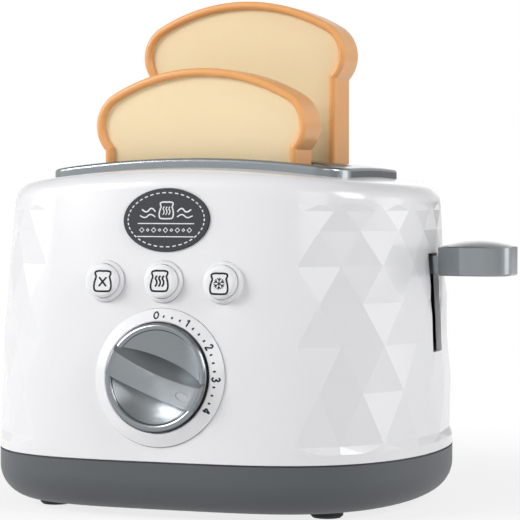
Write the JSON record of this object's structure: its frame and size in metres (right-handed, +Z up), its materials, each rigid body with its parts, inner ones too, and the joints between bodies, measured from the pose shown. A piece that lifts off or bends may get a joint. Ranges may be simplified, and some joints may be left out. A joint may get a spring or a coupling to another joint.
{
  "type": "toy toaster",
  "caption": "Toy pop-up toaster with a faceted housing, side lever, wind-up dial, push buttons and play bread slices.",
  "frame": {"origin": "on the floor under the middle of the whole toy, lever and dial included", "axes": "+Z up, the dial side faces -Y, the lever end faces +X"},
  "size_m": [0.2323, 0.1761, 0.2253],
  "materials": {
    "housing_plastic": "glossy moulded",
    "base_plastic": "fine matte",
    "foot_rubber": "matte",
    "trim_plastic": "metallic silver paint",
    "cap_plastic": "dark metallic paint",
    "well_plastic": "satin moulded",
    "crust_plastic": "glossy moulded",
    "crumb_plastic": "satin moulded",
    "inner_plastic": "plain moulded",
    "badge_plastic": "satin printed",
    "steel": "bright drawn"
  },
  "bodies": {
    "housing": {"badge_plate": "badge_plastic", "base_screws": "steel", "base_tray": "base_plastic", "button_bezel_left": "housing_plastic", "button_bezel_middle": "housing_plastic", "button_bezel_right": "housing_plastic", "button_guide_plate": "inner_plastic", "button_spring_left": "steel", "button_spring_middle": "steel", "button_spring_right": "steel", "dial_ring": "housing_plastic", "front_well": "well_plastic", "guide_rods": "steel", "housing_shell": "housing_plastic", "latch_pin": "steel", "rear_well": "well_plastic", "return_springs": "steel", "rubber_feet": "foot_rubber", "timer_case": "inner_plastic", "top_trim": "trim_plastic"},
    "carriage": {"carriage_yoke": "inner_plastic", "front_shelf": "inner_plastic", "rear_shelf": "inner_plastic", "lever_arm": "trim_plastic", "lever_knob": "trim_plastic", "lever_cap": "cap_plastic"},
    "front_slice": {"front_slice_back_crumb": "crumb_plastic", "front_slice_crust": "crust_plastic", "front_slice_front_crumb": "crumb_plastic"},
    "rear_slice": {"rear_slice_back_crumb": "crumb_plastic", "rear_slice_crust": "crust_plastic", "rear_slice_front_crumb": "crumb_plastic"},
    "dial": {"dial_knob": "trim_plastic", "dial_marker": "badge_plastic", "dial_shaft": "steel"},
    "latch": {"latch_hook": "inner_plastic"},
    "button_left": {"button_cap_left": "housing_plastic"},
    "button_middle": {"button_cap_middle": "housing_plastic"},
    "button_right": {"button_cap_right": "housing_plastic"}
  },
  "joints": [
    {"name": "lever_slide", "type": "slide", "parent": "housing", "child": "carriage", "axis": [0, 0, -1], "range_m": [0, 0.033], "stiffness_N_per_m": 80, "springref_m": -0.04, "deforming": ["return_springs"]},
    {"name": "front_slice_lift", "type": "slide", "parent": "carriage", "child": "front_slice", "axis": [0, 0, 1], "range_m": [0, 0.06]},
    {"name": "rear_slice_lift", "type": "slide", "parent": "carriage", "child": "rear_slice", "axis": [0, 0, 1], "range_m": [-0.033, 0.06]},
    {"name": "dial_turn", "type": "hinge", "parent": "housing", "child": "dial", "pos_m": [-0.0161, -0.07913, 0.06], "axis": [0, -0.9941, 0.1084], "range_deg": [-10, 115]},
    {"name": "latch_swing", "type": "hinge", "parent": "housing", "child": "latch", "pos_m": [0.0699, 0.0237, 0.018], "axis": [0, 1, 0], "range_deg": [-6, 0]},
    {"name": "button_left_press", "type": "slide", "parent": "housing", "child": "button_left", "axis": [0, 0.9923, -0.124], "range_m": [0, 0.0015], "stiffness_N_per_m": 400, "springref_m": -0.001, "deforming": ["button_spring_left"]},
    {"name": "button_middle_press", "type": "slide", "parent": "housing", "child": "button_middle", "axis": [0, 0.9923, -0.124], "range_m": [0, 0.0015], "stiffness_N_per_m": 400, "springref_m": -0.001, "deforming": ["button_spring_middle"]},
    {"name": "button_right_press", "type": "slide", "parent": "housing", "child": "button_right", "axis": [0, 0.9923, -0.124], "range_m": [0, 0.0015], "stiffness_N_per_m": 400, "springref_m": -0.001, "deforming": ["button_spring_right"]}
  ]
}
